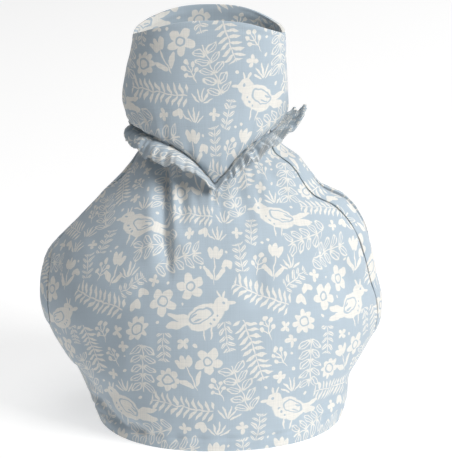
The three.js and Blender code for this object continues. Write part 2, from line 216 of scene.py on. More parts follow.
def through(table: Sequence[NamedTuple], key: str, column: str, at: Array) -> Array:
    """Reads one column of a table along a smooth curve through its rows.

    Args:
        table: rows sorted by the column named key.
        key: the name of the column that at is measured in.
        column: the name of the column to read.
        at: where to read; values past the ends read the end rows.

    Returns:
        The column's values at each of at.
    """
    keys = np.array([getattr(row, key) for row in table], float)
    values = np.array([getattr(row, column) for row in table], float)
    slopes = np.empty_like(values)
    slopes[1:-1] = (values[2:] - values[:-2]) / (keys[2:] - keys[:-2])
    slopes[0] = (values[1] - values[0]) / (keys[1] - keys[0])
    slopes[-1] = (values[-1] - values[-2]) / (keys[-1] - keys[-2])
    x = np.clip(at, keys[0], keys[-1])
    i = np.searchsorted(keys[1:-1], x)
    span = keys[i + 1] - keys[i]
    t = (x - keys[i]) / span
    t2 = t * t
    t3 = t2 * t
    return (
        values[i] * (2 * t3 - 3 * t2 + 1)
        + values[i + 1] * (3 * t2 - 2 * t3)
        + slopes[i] * span * (t3 - 2 * t2 + t)
        + slopes[i + 1] * span * (t3 - t2)
    )


def signed_power(value: Array, power: Array | float) -> Array:
    """Raises the size of a value to a power and keeps its sign."""
    return np.sign(value) * np.abs(value) ** power


def smooth(value: Array, low: float, high: float) -> Array:
    """A soft step from 0 at low to 1 at high."""
    t = np.clip((value - low) / (high - low), 0.0, 1.0)
    return t * t * (3 - 2 * t)


def bell(value: Array, width: float) -> Array:
    """A soft hump of height 1 round 0."""
    return np.exp(-((value / width) ** 2))


def rough(points: Array, grain: float, seed: float) -> Array:
    """Soft unevenness from -1 to 1 over a set of points.

    Args:
        points: places in millimetres, three in the last axis.
        grain: the size of one lump in millimetres.
        seed: a shift that makes another pattern of the same kind.

    Returns:
        One value for each point.
    """
    flat = points.reshape(-1, 3) / grain + seed
    values = [noise.noise(Vector(row)) for row in flat.tolist()]
    return np.array(values).reshape(points.shape[:-1])


class Lumps(NamedTuple):
    """One size of soft unevenness: its grain in millimetres, its pattern and its share."""

    grain: float
    seed: float
    share: float = 1.0


def uneven(points: Array, sizes: Sequence[Lumps]) -> Array:
    """Soft unevenness of several sizes together, one value for each point."""
    return sum(size.share * rough(points, size.grain, size.seed) for size in sizes)


class Crease(NamedTuple):
    """A line where the cloth is pressed in: its depth and its width in millimetres."""

    depth: float
    width: float

    def at(self, off: Array) -> Array:
        """How deep the cloth is pressed in at distances from the line."""
        return self.depth * bell(off, self.width)


class Wave(NamedTuple):
    """A wave along a distance or a turn: radians for each unit of it, a height and a phase."""

    rate: float
    height: float = 1.0
    phase: float = 0.0

    def at(self, where: Array, shift: Array | float = 0.0) -> Array:
        """The wave at each place, moved along by a shift in radians."""
        return self.height * np.sin(where * self.rate + self.phase + shift)


# ---- The forms that the cloth hangs in -----------------------------------------------------------


def outline(table: Sequence[Section], turn: Array, z: Array) -> Array:
    """Points on the rounded outlines of a table.

    Args:
        table: the outlines, from the lowest up.
        turn: the turns to read at.
        z: the heights to read at.

    Returns:
        One point for each turn and height, in the last axis.
    """
    across, deep = np.cos(turn), np.sin(turn)
    reach = np.where(across < 0, through(table, "z", "left", z), through(table, "z", "right", z))
    x = reach * signed_power(across, 2 / through(table, "z", "crown", z))
    depth = through(table, "z", "depth", z)
    y = depth * signed_power(deep, 2 / through(table, "z", "edge", z))
    return np.stack([x, y, z + np.zeros_like(x)], axis=-1)


Skin = Callable[[Array, Array], Array]


def outwards(skin: Skin, turn: Array, z: Array, level_below: float = 0.0) -> Array:
    """The outward directions of a skin.

    Args:
        skin: gives the skin's point at a turn and a height.
        turn: the turns to measure at.
        z: the heights to measure at.
        level_below: below this height the direction is brought level, as cloth stands on a floor.

    Returns:
        Unit vectors in the last axis.
    """
    swing, lift = 0.01, 0.1
    around = skin(turn + swing, z) - skin(turn - swing, z)
    up = skin(turn, z + lift) - skin(turn, z - lift)
    normal = np.cross(around, up)
    if level_below > 0:
        normal[..., 2] *= smooth(z, 0.0, level_below)
    return normal / np.linalg.norm(normal, axis=-1, keepdims=True)


def levelled(directions: Array) -> Array:
    """Directions brought level, as unit vectors in the last axis."""
    level = directions * (1.0, 1.0, 0.0)
    return level / np.linalg.norm(level, axis=-1, keepdims=True)


def from_middle(turn: Array) -> Array:
    """Degrees from the front or back middle, negative towards the spout."""
    return np.degrees(np.arctan2(np.cos(turn), np.abs(np.sin(turn))))


@dataclass(frozen=True)
class Neck:
    """The neck seam: lowest in a V at the front and the back, rising to each side."""

    gap: float = 0.9
    tip: float = 151.0
    tip_angle: float = 2.0
    left_rise: float = 27.0
    left_bend: float = 24.0
    right_rise: float = 32.0
    right_bend: float = 33.0

    def height(self, turn: Array) -> Array:
        """The seam's height.

        Args:
            turn: the turns to read at.

        Returns:
            A height for each turn.
        """
        angle = from_middle(turn) - self.tip_angle
        rise = np.where(angle < 0, self.left_rise, self.right_rise)
        bend = np.where(angle < 0, self.left_bend, self.right_bend)
        full = 1 - np.exp(-(90 - np.sign(angle) * self.tip_angle) / bend)
        return self.tip + rise * (1 - np.exp(-np.abs(angle) / bend)) / full


@dataclass(frozen=True)
class Rim:
    """The hood's open rim: notched at the side seams and arched over the front and the back."""

    side: float = 230.0
    shoulder: float = 8.7
    shoulder_power: float = 0.3
    crown: float = 8.0
    crown_power: float = 3.0

    def height(self, turn: Array) -> Array:
        """The rim's height at each turn."""
        share = np.abs(np.sin(turn))
        return self.side + self.shoulder * share**self.shoulder_power + self.crown * share**self.crown_power


@dataclass(frozen=True)
class Slot:
    """A lens-shaped opening in a side, and the strip sewn round it.

    The opening runs from bottom to top and is at most twice half across. The strip runs from low to
    high, and is foot wide on each side at its low end and head at its high end. It narrows over taper
    inside an end, and bluntness times less past it. closed_top is 1 where it narrows at its top too.
    """

    side: Side
    bottom: float
    top: float
    half: float
    low: float
    high: float
    foot: float
    head: float
    taper: float
    closed_top: float
    bluntness: float = 5.0

    def opening(self, z: Array) -> Array:
        """Half the opening's width at each height."""
        middle, reach = (self.bottom + self.top) / 2, (self.top - self.bottom) / 2
        return self.half * np.maximum(0.0, 1 - ((z - middle) / reach) ** 2)

    def edge(self, z: Array) -> Array:
        """Half the width of the strip and its opening together.

        Args:
            z: the heights to read at.

        Returns:
            A half-width for each height.
        """
        blunt = self.taper / self.bluntness
        level = np.minimum(z, self.high)
        width = self.foot + (self.head - self.foot) * (level - self.low) / (self.high - self.low)
        begun = smooth(z, self.low - blunt, self.low + self.taper)
        ended = smooth(z, self.high - self.taper, self.high + blunt) * self.closed_top
        return self.opening(z) + width * begun * (1 - ended)


NECK = Neck()
RIM = Rim()
SPOUT_SLOT = Slot(
    side=Side.SPOUT, bottom=56, top=100, half=13, low=48, high=108, foot=12, head=12, taper=14, closed_top=1
)
HANDLE_SLOT = Slot(
    side=Side.HANDLE, bottom=48, top=152, half=8, low=39, high=177, foot=10, head=17, taper=18, closed_top=0
)
HEM_HEIGHT = 8.0


def body_skin(turn: Array, z: Array) -> Array:
    """The smooth outside of the body, without its folds."""
    return outline(BODY_SECTIONS, turn, z)


def turn_at(side: Side, y: Array, z: Array) -> Array:
    """The turn at which the body's outline is a distance from its side seam.

    Args:
        side: the side of the seam.
        y: the distances, below 0 towards the front.
        z: the heights to read at.

    Returns:
        A turn for each distance and height.
    """
    share = np.clip(np.abs(y) / through(BODY_SECTIONS, "z", "depth", z), 0.0, 1.0)
    lift = np.sign(y) * np.arcsin(share ** (through(BODY_SECTIONS, "z", "edge", z) / 2))
    return lift if side is Side.HANDLE else math.pi - lift


def fold_depth(x: Array, z: Array, face: Face) -> Array:
    """How deep the folds of one panel press in.

    Args:
        x: places across, seen from the front.
        z: their heights.
        face: the panel.

    Returns:
        A depth for each place, in millimetres.
    """
    begins, full, fades, gone = -0.12, 0.15, 0.7, 1.15
    depth = np.zeros_like(x)
    for fold in FOLDS[face]:
        run = np.array([fold.x1 - fold.x0, fold.z1 - fold.z0], float)
        length = float(np.hypot(*run))
        dx, dz = x - fold.x0, z - fold.z0
        along = (dx * run[0] + dz * run[1]) / length**2
        off = (dz * run[0] - dx * run[1]) / length / fold.across
        leaning = off / (1 + fold.lean * np.tanh(off))
        ends = smooth(along, begins, full) * (1 - smooth(along, fades, gone))
        depth += fold.depth * np.exp(-(leaning**2)) * ends
    return depth


# ---- The printed cotton --------------------------------------------------------------------------


def from_screen(red: int, green: int, blue: int) -> Colour:
    """Turns a colour as seen on a screen into a linear one."""
    values = (value / 255 for value in (red, green, blue))
    return tuple(v / 12.92 if v <= 0.04045 else ((v + 0.055) / 1.055) ** 2.4 for v in values)


@dataclass(frozen=True)
class Field:
    """A number or a vector at every place of a material; arithmetic on it adds nodes.

    Attributes:
        tree: the material's nodes.
        socket: the output that carries the value.
    """

    tree: bpy.types.NodeTree
    socket: bpy.types.NodeSocket

    def node(self, kind: str, output: str, *values: object, **settings: object) -> Field:
        """Adds a node with this field as its first input.

        Args:
            kind: the node's type.
            output: the name of the output to give back.
            values: the inputs after the first, as fields or plain values.
            settings: the node's own settings.

        Returns:
            The output as a field.
        """
        made = self.tree.nodes.new(kind)
        for setting, value in settings.items():
            setattr(made, setting, value)
        for entry, value in zip(made.inputs, (self, *values)):
            if isinstance(value, Field):
                self.tree.links.new(value.socket, entry)
            else:
                entry.default_value = value
        return Field(self.tree, made.outputs[output])

    def math(self, operation: str, *values: Field | float) -> Field:
        """One step of arithmetic on numbers."""
        return self.node("ShaderNodeMath", "Value", *values, operation=operation)

    def vector(self, operation: str, *values: Field | Sequence[float]) -> Field:
        """One step of arithmetic on vectors."""
        return self.node("ShaderNodeVectorMath", "Vector", *values, operation=operation)

    def __add__(self, other: Field | float) -> Field:
        """Adds numbers."""
        return self.math("ADD", other)

    def __sub__(self, other: Field | float) -> Field:
        """Subtracts numbers."""
        return self.math("SUBTRACT", other)

    def __mul__(self, other: Field | float) -> Field:
        """Multiplies numbers."""
        return self.math("MULTIPLY", other)

    def either(self, other: Field) -> Field:
        """The greater of two numbers: ink where either has ink."""
        return self.math("MAXIMUM", other)

    def nearer(self, other: Field) -> Field:
        """The smaller of two numbers: one shape joined to another."""
        return self.math("MINIMUM", other)

    def size(self) -> Field:
        """A number without its sign."""
        return self.math("ABSOLUTE")

    def axis(self, name: str) -> Field:
        """One axis of a vector, X or Y."""
        return self.node("ShaderNodeSeparateXYZ", name)

    def length(self) -> Field:
        """A vector's length."""
        return self.node("ShaderNodeVectorMath", "Value", operation="LENGTH")

    def below(self, limit: float, soft: float) -> Field:
        """1 where a number is under a limit and 0 over it, with a soft edge between."""
        ends = (limit + soft, limit - soft)
        return self.node("ShaderNodeMapRange", "Result", *ends, interpolation_type="SMOOTHSTEP")

    def noise(self, output: str, scale: float, detail: float) -> Field:
        """Soft noise at a place: a number from the output Fac, or three from Color."""
        return self.node("ShaderNodeTexNoise", output, 0.0, scale, detail)

    def place_at(self, up: Field) -> Field:
        """The place that is this number across and another up."""
        return self.node("ShaderNodeCombineXYZ", "Vector", up)

    def seen_from(self, x: float, y: float, turn: float = 0.0, wide: float = 1.0, high: float = 1.0) -> Field:
        """A place measured from a point, along turned axes, in units of wide and high.

        Args:
            x: the point's place across.
            y: the point's place up.
            turn: how far the axes are turned, in degrees.
            wide: the unit across; below 0 mirrors.
            high: the unit up.

        Returns:
            The place as a vector.
        """
        origin, angles, units = (x, y, 0), (0, 0, math.radians(turn)), (wide, high, 1)
        return self.node("ShaderNodeMapping", "Vector", origin, angles, units, vector_type="TEXTURE")

    def mirrored(self) -> Field:
        """A place folded over its upright axis."""
        return self.axis("X").size().place_at(self.axis("Y"))

    def oval(self, x: float, y: float, wide: float, high: float, turn: float = 0.0) -> Field:
        """How far out a place is in an oval: 0 at its middle and 1 on its edge."""
        return self.seen_from(x, y, turn, wide, high).length()

    def closest(self, others: Sequence[Field]) -> Field:
        """Chooses among places the one nearest to its own origin, at each point.

        Args:
            others: the places to compare with this one.

        Returns:
            The nearest place.
        """
        first, second, result = VECTOR_MIX
        best = self
        for other in others:
            is_closer = other.length().math("LESS_THAN", best.length())
            made = self.tree.nodes.new("ShaderNodeMix")
            made.data_type = "VECTOR"
            self.tree.links.new(is_closer.socket, made.inputs["Factor"])
            self.tree.links.new(best.socket, made.inputs[first])
            self.tree.links.new(other.socket, made.inputs[second])
            best = Field(self.tree, made.outputs[result])
        return best


# The two inputs and the output of a Mix node for each kind of data, by their place in its lists
VECTOR_MIX = (4, 5, 1)
COLOUR_MIX = (6, 7, 2)

# How soft the edges of inks are: a share of an oval's size, and then in millimetres
EDGE = 0.05
PETAL_EDGE = 0.3
TIP_EDGE = 0.3
RING_EDGE = 0.2
STEM_EDGE = 0.15

# How far noise mostly strays from its middle value
NOISE_REACH = 0.25


def joined(shapes: Sequence[Field]) -> Field:
    """The union of ovals and the like."""
    return reduce(Field.nearer, shapes)


def without(ink: Field, line: Field) -> Field:
    """Ink with a line of the ground left showing through it."""
    return ink * (line * -1.0 + 1.0)


class Oval(NamedTuple):
    """One oval of a motif, in millimetres and degrees."""

    x: float
    y: float
    wide: float
    high: float
    turn: float = 0.0


class Spot(NamedTuple):
    """Where one copy of a motif is printed in the repeat, how it is turned, its scale and hand."""

    x: float
    y: float
    turn: float = 0.0
    scale: float = 1.0
    mirrored: bool = False


@dataclass(frozen=True)
class Ovals:
    """A motif drawn as solid ovals with other ovals left out of it, and rings let into it."""

    solid: tuple[Oval, ...]
    left_out: tuple[Oval, ...] = ()
    rings: tuple[Oval, ...] = ()
    ring_width: float = 0.1
    symmetric: bool = False

    def ink(self, place: Field) -> Field:
        """Draws the motif.

        Args:
            place: a place measured from the motif's middle.

        Returns:
            Its ink, from 0 to 1.
        """
        side = place.mirrored() if self.symmetric else place
        shape = joined([side.oval(*oval) for oval in self.solid]).below(1.0, EDGE)
        if self.left_out:
            holes = joined([side.oval(*oval) for oval in self.left_out]).below(1.0, 2 * EDGE)
            shape = without(shape, holes)
        for oval in self.rings:
            ring = (side.oval(*oval) - 1.0).size().below(self.ring_width, EDGE)
            shape = without(shape, ring)
        return shape


@dataclass(frozen=True)
class Blossom:
    """A round flower, with a ring let into it where core is over 0."""

    petals: int
    radius: float
    waist: float
    core: float
    line: float = 0.5

    def ink(self, place: Field) -> Field:
        """Draws the flower.

        Args:
            place: a place measured from the flower's middle.

        Returns:
            Its ink, from 0 to 1.
        """
        out = place.length()
        angle = place.axis("Y").math("ARCTAN2", place.axis("X"))
        lobes = (angle * (self.petals / 2)).math("COSINE").size()
        edge = lobes * (self.radius - self.waist) + self.waist
        shape = (out - edge).below(0.0, PETAL_EDGE)
        if self.core > 0:
            shape = without(shape, (out - self.core).size().below(self.line, RING_EDGE))
        return shape


@dataclass(frozen=True)
class Sprig:
    """A stem with pairs of leaves up it.

    A leaf is solid but for its midrib, or, where outline is over 0, a line that wide with its midrib
    drawn inside it.
    """

    reach: float
    pitch: float
    leaf: Oval
    stem: float = 0.4
    midrib: float = 0.16
    outline: float = 0.0

    def ink(self, place: Field) -> Field:
        """Draws the sprig with its stem upright.

        Args:
            place: a place measured from the sprig's middle.

        Returns:
            Its ink, from 0 to 1.
        """
        across = place.axis("X").size()
        up = place.axis("Y")
        within = across.place_at(up.math("WRAP", self.pitch / 2, -self.pitch / 2))
        leaf = self.leaf
        blade = within.seen_from(leaf.x, leaf.y, leaf.turn, leaf.wide, leaf.high)
        ink = blade.length().below(1.0, 2 * EDGE)
        rib = blade.axis("Y").size().below(self.midrib, EDGE) if self.midrib > 0 else None
        if self.outline > 0:
            inside = blade.length().below(1.0 - self.outline, EDGE)
            ink = without(ink, without(inside, rib) if rib else inside)
        elif rib:
            ink = without(ink, rib)
        ink = ink.either(across.below(self.stem, STEM_EDGE))
        return ink * up.size().below(self.reach, TIP_EDGE)


Motif = Ovals | Blossom | Sprig

BIRD = Ovals(
    solid=(
        Oval(0, 0, 12, 7.2, 14), Oval(10.5, 6.8, 5, 4.6), Oval(16.4, 6.6, 2.8, 1.1, -8),
        Oval(-15.5, -3.0, 8.6, 2.3, 6), Oval(-15, 1.0, 8.0, 1.8, -14),
        Oval(-1.5, -9.6, 0.55, 4.2, 10), Oval(3.2, -9.2, 0.55, 4.2, -8),
        Oval(9.5, 12.6, 0.7, 2.6, 18), Oval(12.2, 12.4, 0.7, 2.4, -12),
    ),
    left_out=(
        Oval(12.0, 7.6, 0.85, 0.85), Oval(-6.6, 1.2, 2.6, 0.55, 24),
        Oval(-4.8, -1.4, 2.8, 0.55, 14), Oval(5.6, -2.2, 0.7, 0.7), Oval(3.4, -4.2, 0.7, 0.7),
        Oval(7.6, 0.2, 0.7, 0.7),
    ),
    rings=(Oval(-2.6, 0.8, 7.4, 3.6, 18),),
)
TULIP = Ovals(
    solid=(
        Oval(0, 8.4, 1.7, 4.2), Oval(2.9, 7.6, 1.7, 4.0, -22), Oval(0, -2.6, 0.5, 8.6),
        Oval(3.9, -4.6, 1.5, 5.0, -38),
    ),
    symmetric=True,
)
HEART = Ovals(solid=(Oval(1.25, 0.4, 1.9, 3.3, 38),), symmetric=True)
BERRIES = Ovals(
    solid=(
        Oval(0, 6.4, 1.5, 1.5), Oval(3.0, 4.0, 1.4, 1.4), Oval(3.6, 0.0, 1.4, 1.4),
        Oval(0, -1.0, 0.4, 6.4), Oval(1.6, 2.0, 0.35, 2.6, -38), Oval(1.8, -1.6, 0.35, 2.4, -52),
    ),
    symmetric=True,
)
GRASS = Ovals(
    solid=(
        Oval(0, 2.2, 0.6, 4.6), Oval(2.2, 1.4, 0.6, 4.0, -26), Oval(4.2, -0.4, 0.6, 3.4, -52),
    ),
    symmetric=True,
)
DAISY = Blossom(petals=5, radius=8.6, waist=4.2, core=2.6)
POSY = Blossom(petals=8, radius=7.4, waist=5.0, core=3.2)
BLOSSOM = Blossom(petals=4, radius=3.8, waist=1.1, core=0.0)
LONG_SPRIG = Sprig(reach=15.4, pitch=6.2, leaf=Oval(4.2, 0.4, 4.5, 2.1, 36), midrib=0.13, outline=0.27)
FROND = Sprig(reach=19.0, pitch=3.8, leaf=Oval(4.0, 0.7, 4.2, 0.95, 30), midrib=0.0)
FINE_SPRIG = Sprig(reach=8.8, pitch=4.2, leaf=Oval(2.4, 0.3, 2.5, 1.0, 38), stem=0.3)
DOT = Ovals(solid=(Oval(0, 0, 1.15, 1.15),))

# The print's repeat across and up, in millimetres, and where each motif stands in it
REPEAT = (104.0, 120.0)
LAYOUT: tuple[tuple[Motif, tuple[Spot, ...]], ...] = (
    (BIRD, (Spot(0, 0, 4), Spot(52, 60, -4, 1.0, True))),
    (DAISY, (Spot(-9, 18, -39), Spot(-26, 9, -20), Spot(2, -26, -86))),
    (POSY, (Spot(-22, -38, -3), Spot(-42, -6, 10))),
    (TULIP, (Spot(6, 30, -4), Spot(-9, -34, 26), Spot(45, 30, -11))),
    (LONG_SPRIG, (Spot(-38, -32, 180), Spot(-34, 45, 106), Spot(21, -43, 22), Spot(-18, 35, -76))),
    (FROND, (Spot(35, 12, 67), Spot(29, -20, -162), Spot(-14, -55, 81))),
    (
        FINE_SPRIG,
        (Spot(-25, -18, 180), Spot(-46, 20, -58), Spot(23, 35, 8), Spot(13, -12, -170), Spot(32, 51, -9)),
    ),
    (BERRIES, (Spot(46, -26, 36), Spot(38, -8, 14), Spot(8, -44, 27), Spot(35, 30, -19))),
    (
        BLOSSOM,
        (
            Spot(-12, 51), Spot(22, 51, 4), Spot(45, -38, -3), Spot(49, -8, 33), Spot(-51, -17, 7),
            Spot(-32, 22, 77), Spot(-13, -16, 45),
        ),
    ),
    (HEART, (Spot(-39, 14, 25), Spot(-43, 7, -8), Spot(14, 31, -5), Spot(-2, 52, -25))),
    (GRASS, (Spot(-49, 28, 2), Spot(-51, -46, 14), Spot(8, 49, -6), Spot(14, 60, -12))),
    (
        DOT,
        (
            Spot(-6, -17), Spot(14, 39, 0, 0.8), Spot(42, 45), Spot(-50, -24, 0, 0.7), Spot(-50, -34),
            Spot(-23, 20, 0, 0.8), Spot(36, -44), Spot(-14, 7, 0, 0.7), Spot(-29, -3), Spot(-3, 29, 0, 0.8),
            Spot(-40, -52), Spot(38, 43, 0, 0.7),
        ),
    ),
)


def put(node: bpy.types.Node, values: dict[str, object]) -> None:
    """Sets inputs of a node by their names."""
    for name, value in values.items():
        node.inputs[name].default_value = value


@dataclass(frozen=True)
class PrintedCotton:
    """Plain-woven cotton, dyed a cool blue and printed in cream.

    Attributes:
        name: the material's name.
        ground: the dyed colour; the frill's is set darker as painted shade under the hood.
        ink: the printed colour.
        roughness: the shader's roughness.
        sheen: how much fluff stands off the weave.
        wobble: how far the print's outlines wander, in millimetres.
        weave: the pitch of the threads, in millimetres.
        slub: how much lighter and darker the threads vary.
        ink_cover: how much of the dye the ink hides.
        ink_weave: how much more ink the raised threads take.
        sheen_roughness: how widely the fluff spreads the light.
        shine: how strongly the cloth mirrors the light.
        wander_scale: how fine the wandering is, for each millimetre.
        wander_detail: how much smaller wandering is laid over it.
        thread_drift: how fast a thread varies along its length, for each millimetre.
        thread_detail: how much smaller variation the threads have.
        relief: how strongly the threads show in the light.
        relief_height: how far they stand up, in millimetres.
    """

    name: str
    ground: Colour = from_screen(170, 184, 195)
    ink: Colour = from_screen(222, 220, 214)
    roughness: float = 0.88
    sheen: float = 0.25
    wobble: float = 0.9
    weave: float = 0.7
    slub: float = 0.09
    ink_cover: float = 0.93
    ink_weave: float = 0.45
    sheen_roughness: float = 0.5
    shine: float = 0.25
    wander_scale: float = 0.16
    wander_detail: float = 1.5
    thread_drift: float = 0.03
    thread_detail: float = 2.0
    relief: float = 0.35
    relief_height: float = 0.25

    def printed(self, cloth: Field) -> Field:
        """Prints the whole layout on the cloth.

        Args:
            cloth: a place on the flat cloth, in millimetres.

        Returns:
            The print's ink, from 0 to 1.
        """
        wander = cloth.noise("Color", self.wander_scale, self.wander_detail)
        swing = self.wobble / NOISE_REACH
        offset = wander.vector("SUBTRACT", (0.5, 0.5, 0.5)).vector("MULTIPLY", (swing, swing, 0))
        drawn = cloth.vector("ADD", offset)
        half = (REPEAT[0] / 2, REPEAT[1] / 2, 1.0)
        inks = []
        for motif, spots in LAYOUT:
            places = []
            for spot in spots:
                near = drawn.vector("SUBTRACT", (spot.x, spot.y, 0))
                near = near.vector("WRAP", half, tuple(-side for side in half))
                wide = -spot.scale if spot.mirrored else spot.scale
                places.append(near.seen_from(0, 0, spot.turn, wide, spot.scale))
            inks.append(motif.ink(places[0].closest(places[1:])))
        return reduce(Field.either, inks)

    def material(self) -> bpy.types.Material:
        """Makes the material, or finds it if another piece has made it.

        Returns:
            The material.
        """
        known = bpy.data.materials.get(self.name)
        if known:
            return known
        made = bpy.data.materials.new(self.name)
        made.use_nodes = True
        tree = made.node_tree
        shader = tree.nodes["Principled BSDF"]
        finish = {
            "Roughness": self.roughness,
            "Sheen Weight": self.sheen,
            "Sheen Roughness": self.sheen_roughness,
            "Specular IOR Level": self.shine,
        }
        put(shader, finish)

        cloth_map = tree.nodes.new("ShaderNodeUVMap")
        cloth_map.uv_map = "cloth"
        cloth = Field(tree, cloth_map.outputs["UV"])
        ink = self.printed(cloth)
        warp = self.threads(cloth, (1 / self.weave, self.thread_drift, 1))
        weft = self.threads(cloth, (self.thread_drift, 1 / self.weave, 1))
        yarn = warp + weft - 1.0

        first, second, result = COLOUR_MIX
        dyed = tree.nodes.new("ShaderNodeMix")
        dyed.data_type = "RGBA"
        dyed.inputs[first].default_value = (*self.ground, 1)
        dyed.inputs[second].default_value = (*self.ink, 1)
        tree.links.new((ink * (yarn * self.ink_weave + self.ink_cover)).socket, dyed.inputs["Factor"])
        shaded = tree.nodes.new("ShaderNodeHueSaturation")
        tree.links.new(dyed.outputs[result], shaded.inputs["Color"])
        tree.links.new((yarn * self.slub + 1.0).socket, shaded.inputs["Value"])
        tree.links.new(shaded.outputs["Color"], shader.inputs["Base Color"])

        bump = tree.nodes.new("ShaderNodeBump")
        put(bump, {"Strength": self.relief, "Distance": self.relief_height * MM})
        tree.links.new(yarn.socket, bump.inputs["Height"])
        tree.links.new(bump.outputs["Normal"], shader.inputs["Normal"])
        return made

    def threads(self, cloth: Field, stretch: tuple[float, float, float]) -> Field:
        """Uneven threads along one way of the cloth, from 0 to 1."""
        return cloth.vector("MULTIPLY", stretch).noise("Fac", 1.0, self.thread_detail)


BODY_COTTON = PrintedCotton("printed_body")
HOOD_COTTON = PrintedCotton("printed_hood")
# The frill's ground is darker than the body's: painted shade, for the hood's overhang above it.
FRILL_COTTON = PrintedCotton("printed_frill", ground=from_screen(158, 171, 181))
BINDING_COTTON = PrintedCotton("printed_binding")


# ---- Pieces of cloth -----------------------------------------------------------------------------


def placed(name: str, data: bpy.types.ID) -> bpy.types.Object:
    """Makes an object and puts it in the scene.

    Args:
        name: the object's name.
        data: its mesh, lamp or camera.

    Returns:
        The new object.
    """
    made = bpy.data.objects.new(name, data)
    bpy.context.scene.collection.objects.link(made)
    return made


@dataclass(kw_only=True)
class ClothPiece:
    """A piece cut from the printed cotton: a grid laid on a skin and given a wall.

    Attributes:
        name: the object's name.
        node: the frame's node that the piece stands for.
        slot: a material slot's name; not used.
        cotton: the finish.
        wall: the cloth's thickness in millimetres.
        columns: grid steps across the piece.
        rows: grid steps up the piece.
        cut: the flat width and length before sewing, in millimetres; not used.
        cut_area: the flat area, in square millimetres; not used.
        held: how the cloth hangs; not used.
        print_at: where on the printed cotton the piece's middle was cut, in millimetres.
        level_print: whether the print stands level where the piece's foot doesn't.
        turned_edge: how far in a cut edge is rounded at most, in millimetres.
        edge_angle: the least corner that is rounded, in degrees.
        edge_steps: how many steps a rounded edge has.
    """

    name: str
    node: str
    slot: str
    cotton: PrintedCotton
    wall: float
    columns: int
    rows: int
    cut: tuple[float, float]
    cut_area: float
    held: str
    print_at: tuple[float, float]
    level_print: bool = True
    turned_edge: float = 0.5
    edge_angle: float = 55
    edge_steps: int = 2

    def lay(self, u: Array, v: Array) -> Array:
        """Gives the cloth's points.

        Args:
            u: grid places across, each from -1 to 1.
            v: grid places up, each from -1 to 1.

        Returns:
            A point for each grid place, in millimetres.
        """
        raise NotImplementedError

    def wall_share(self, v: Array) -> Array:
        """The share of the wall's thickness at each v."""
        return np.ones_like(v)

    def trim(self, mesh: bmesh.types.BMesh) -> None:
        """Cuts openings in, or welds, the laid grid; plain pieces need neither."""

    def flat(self, points: Array) -> Array:
        """Lays the grid of points out flat, in millimetres along the printed cotton.

        Args:
            points: rows by columns by three, as laid.

        Returns:
            Rows by columns by two: the distance across from the middle column, and up from the foot.
        """
        across = np.linalg.norm(np.diff(points, axis=1), axis=-1).cumsum(axis=1)
        across = np.pad(across, ((0, 0), (1, 0)))
        across -= across[:, self.columns // 2][:, None]
        up = np.linalg.norm(np.diff(points, axis=0), axis=-1).cumsum(axis=0)
        up = np.pad(up, ((1, 0), (0, 0)))
        if self.level_print:
            up += (points[0, :, 2] - points[0, self.columns // 2, 2])[None, :]
        return np.stack([across + self.print_at[0], up + self.print_at[1]], axis=-1)

    def build(self) -> bpy.types.Object:
        """Makes the piece, dresses it, hangs it from the root and hides the frame's part that it stands for.

        Returns:
            The finished object.
        """
        u, v = np.meshgrid(np.linspace(-1, 1, self.columns + 1), np.linspace(-1, 1, self.rows + 1))
        points = self.lay(u, v)
        flat = self.flat(points)
        share = self.wall_share(v)

        mesh = bmesh.new()
        bmesh.ops.create_grid(mesh, x_segments=self.columns, y_segments=self.rows, size=1.0)
        print_layer = mesh.loops.layers.uv.new("cloth")
        wall_layer = mesh.verts.layers.deform.verify()
        for vert in mesh.verts:
            column = round((vert.co.x + 1) / 2 * self.columns)
            row = round((vert.co.y + 1) / 2 * self.rows)
            for loop in vert.link_loops:
                loop[print_layer].uv = flat[row, column]
            vert[wall_layer][0] = share[row, column]
            vert.co = Vector(points[row, column]) * MM
        for face in mesh.faces:
            face.smooth = True
        self.trim(mesh)

        data = bpy.data.meshes.new(self.name)
        mesh.to_mesh(data)
        mesh.free()
        data.materials.append(self.cotton.material())
        piece = placed(self.name, data)
        piece.vertex_groups.new(name="wall")
        self.thicken(piece)

        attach(piece, "root")
        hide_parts(self.node)
        log.info("%s: %d by %d steps", self.name, self.columns, self.rows)
        return piece

    def thicken(self, piece: bpy.types.Object) -> None:
        """Gives the cloth its wall, inwards, and softens the edges of the cut.

        Args:
            piece: the laid cloth.
        """
        wall = piece.modifiers.new("wall", "SOLIDIFY")
        wall.thickness = self.wall * MM
        wall.offset = -1.0
        wall.vertex_group = "wall"
        soften = piece.modifiers.new("turned_edge", "BEVEL")
        soften.limit_method = "ANGLE"
        soften.angle_limit = math.radians(self.edge_angle)
        soften.width = min(self.turned_edge, self.wall / 4) * MM
        soften.segments = self.edge_steps


